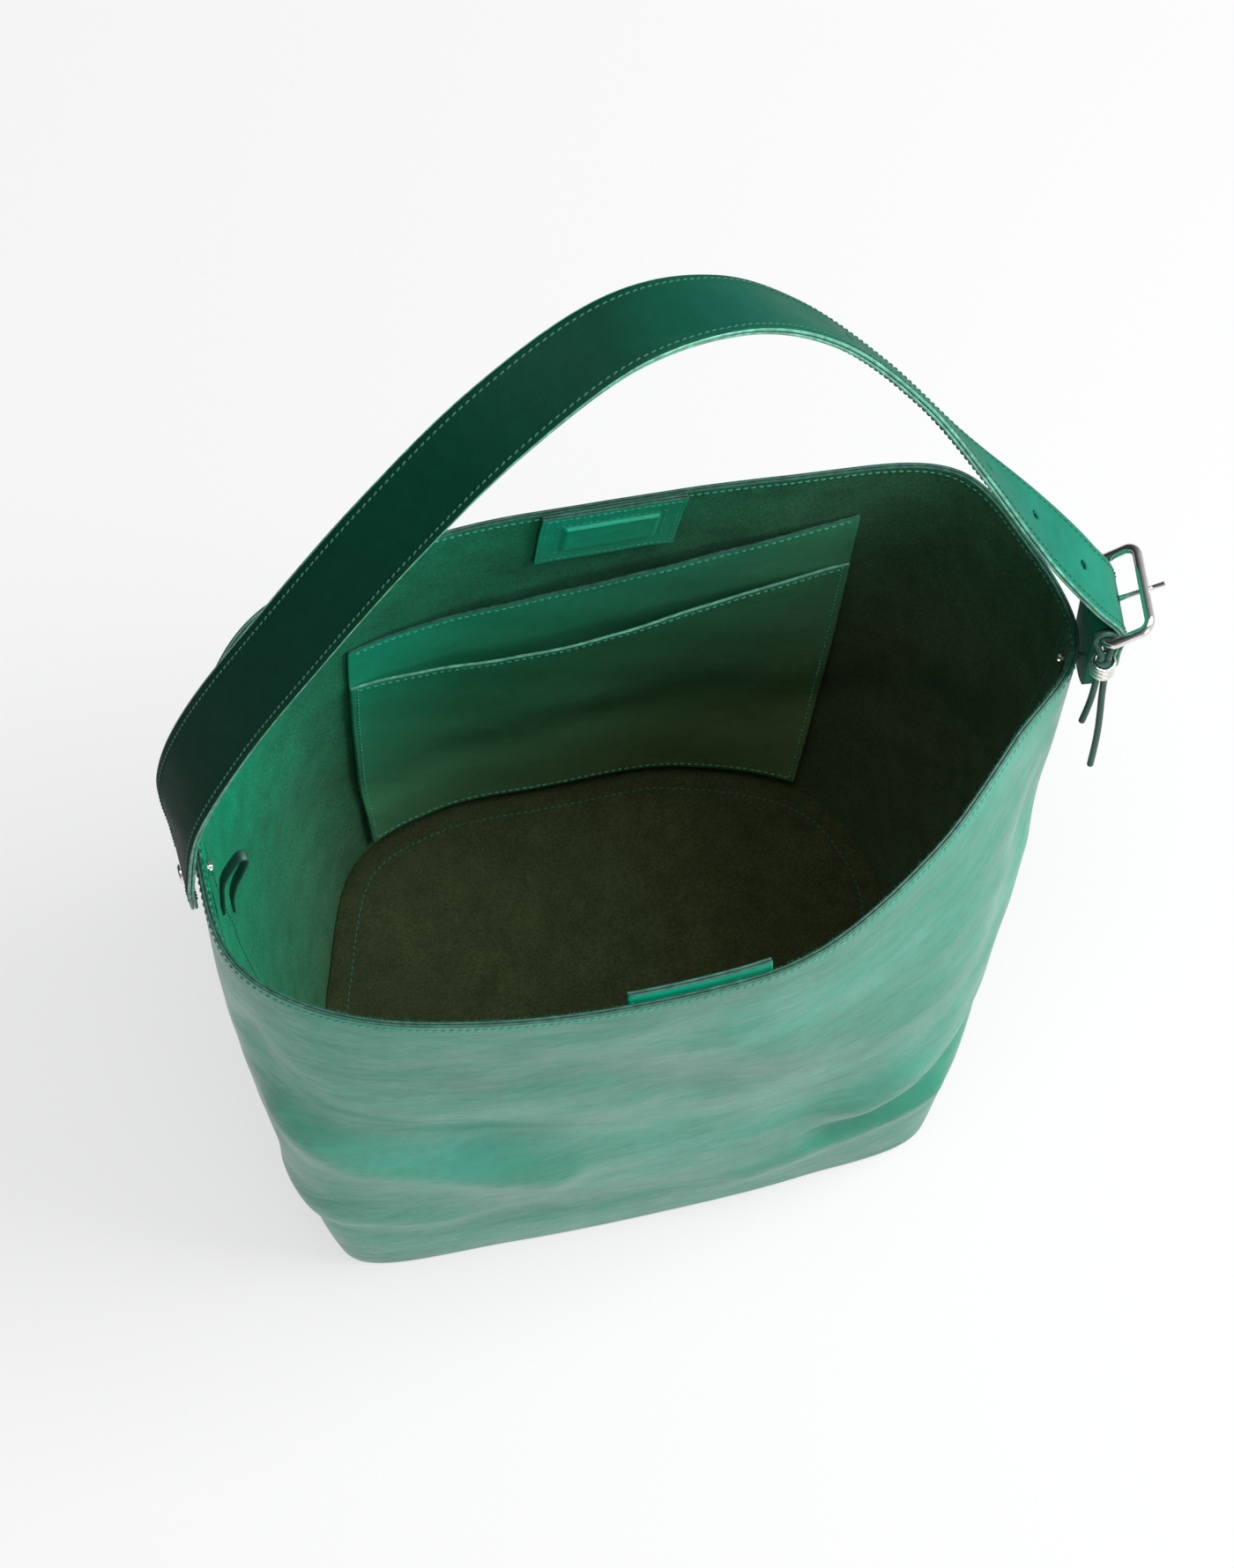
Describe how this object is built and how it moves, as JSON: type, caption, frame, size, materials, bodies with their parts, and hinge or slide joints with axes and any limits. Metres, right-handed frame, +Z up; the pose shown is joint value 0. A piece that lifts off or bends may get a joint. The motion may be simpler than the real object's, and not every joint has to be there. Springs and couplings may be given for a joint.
{
  "type": "bucket bag",
  "caption": "Open leather bucket bag on a flat base with inner slip pockets, magnet tabs at the rim and a wide buckled shoulder strap that swings over the mouth.",
  "frame": {"origin": "on the table, on the underside of the base near its middle", "axes": "+Z up, +X towards the buckle end, +Y towards the wall that carries the pockets"},
  "size_m": [0.4288, 0.2465, 0.5577],
  "materials": {
    "outer_leather": "smooth vegetable-tanned leather, soft sheen, green",
    "suede_lining": "flesh-side suede, matt green",
    "base_leather": "smooth leather, green",
    "floor_leather": "flesh-side suede, dark olive green",
    "pocket_leather": "smooth calf leather, green",
    "strap_leather": "smooth bridle leather, deep green",
    "strap_backing": "matt leather, deep green",
    "lace_leather": "cut leather lace, dark green",
    "nickel": "polished nickel",
    "magnet_steel": "plated magnet strip"
  },
  "bodies": {
    "bag": {"front_panel": "outer_leather", "back_panel": "outer_leather", "front_lining": "suede_lining", "back_lining": "suede_lining", "base_panel": "base_leather", "base_liner": "floor_leather", "left_seam_facing": "suede_lining", "right_seam_facing": "suede_lining", "rear_pocket": "pocket_leather", "front_pocket": "pocket_leather", "back_tab_backing": "pocket_leather", "back_tab_cover": "pocket_leather", "back_magnet": "magnet_steel", "front_tab_backing": "pocket_leather", "front_tab_cover": "pocket_leather", "front_magnet": "magnet_steel", "inner_loop": "lace_leather", "left_rivet": "nickel", "left_rivet_burr": "nickel", "right_rivet": "nickel", "right_rivet_burr": "nickel"},
    "strap": {"strap_outer": "strap_leather", "strap_lining": "strap_backing", "chape": "strap_leather", "lace_loop": "lace_leather"},
    "buckle": {"buckle_frame": "nickel"},
    "prong": {"buckle_prong": "nickel"},
    "tie": {"lace_ring": "nickel", "lace_knot": "lace_leather", "short_lace": "lace_leather", "long_lace": "lace_leather"}
  },
  "joints": [
    {"name": "strap_swing", "type": "hinge", "parent": "bag", "child": "strap", "pos_m": [0, -0.012, 0.284], "axis": [1, 0, 0], "range_deg": [-28, 30]},
    {"name": "buckle_tilt", "type": "hinge", "parent": "strap", "child": "buckle", "pos_m": [0.22, -0.012, 0.329], "axis": [0.1392, 0.9903, 0], "range_deg": [-28, 0]},
    {"name": "prong_lift", "type": "hinge", "parent": "strap", "child": "prong", "pos_m": [0.22, -0.012, 0.329], "axis": [0.1392, 0.9903, 0], "range_deg": [0, 9]},
    {"name": "tie_hang", "type": "hinge", "parent": "strap", "child": "tie", "pos_m": [0.21724, -0.03161, 0.3169], "axis": [1, 0, 0], "range_deg": [-60, 4]}
  ]
}
